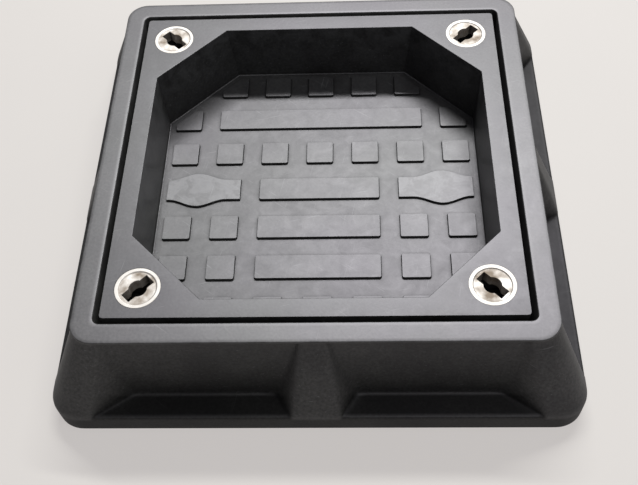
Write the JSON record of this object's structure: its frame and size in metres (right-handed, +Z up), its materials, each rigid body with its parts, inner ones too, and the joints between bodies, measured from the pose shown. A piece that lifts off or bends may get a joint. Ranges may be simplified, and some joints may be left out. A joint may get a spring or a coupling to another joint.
{
  "type": "recessed manhole cover",
  "caption": "Square recessed manhole cover: a moulded frame with a flared, buttressed skirt, a lift-out tray with raised tread and cut corners, and slotted metal lifting sockets.",
  "frame": {"origin": "middle of the frame's underside, on the ground", "axes": "+Z up out of the tray, +X to the right and -Y towards the viewer, with the wide tread plate at the back"},
  "size_m": [0.446, 0.446, 0.096],
  "materials": {
    "frame_composite": "moulded charcoal glass-filled composite, satin with scuffs",
    "cover_composite": "moulded charcoal glass-filled composite, satin with rubbed tread",
    "socket_steel": "turned stainless steel, bright with fine stains"
  },
  "bodies": {
    "root": {"frame": "frame_composite", "cover": "cover_composite", "lifting_socket_front_left": "socket_steel", "lifting_socket_front_right": "socket_steel", "lifting_socket_back_right": "socket_steel", "lifting_socket_back_left": "socket_steel"}
  },
  "joints": []
}
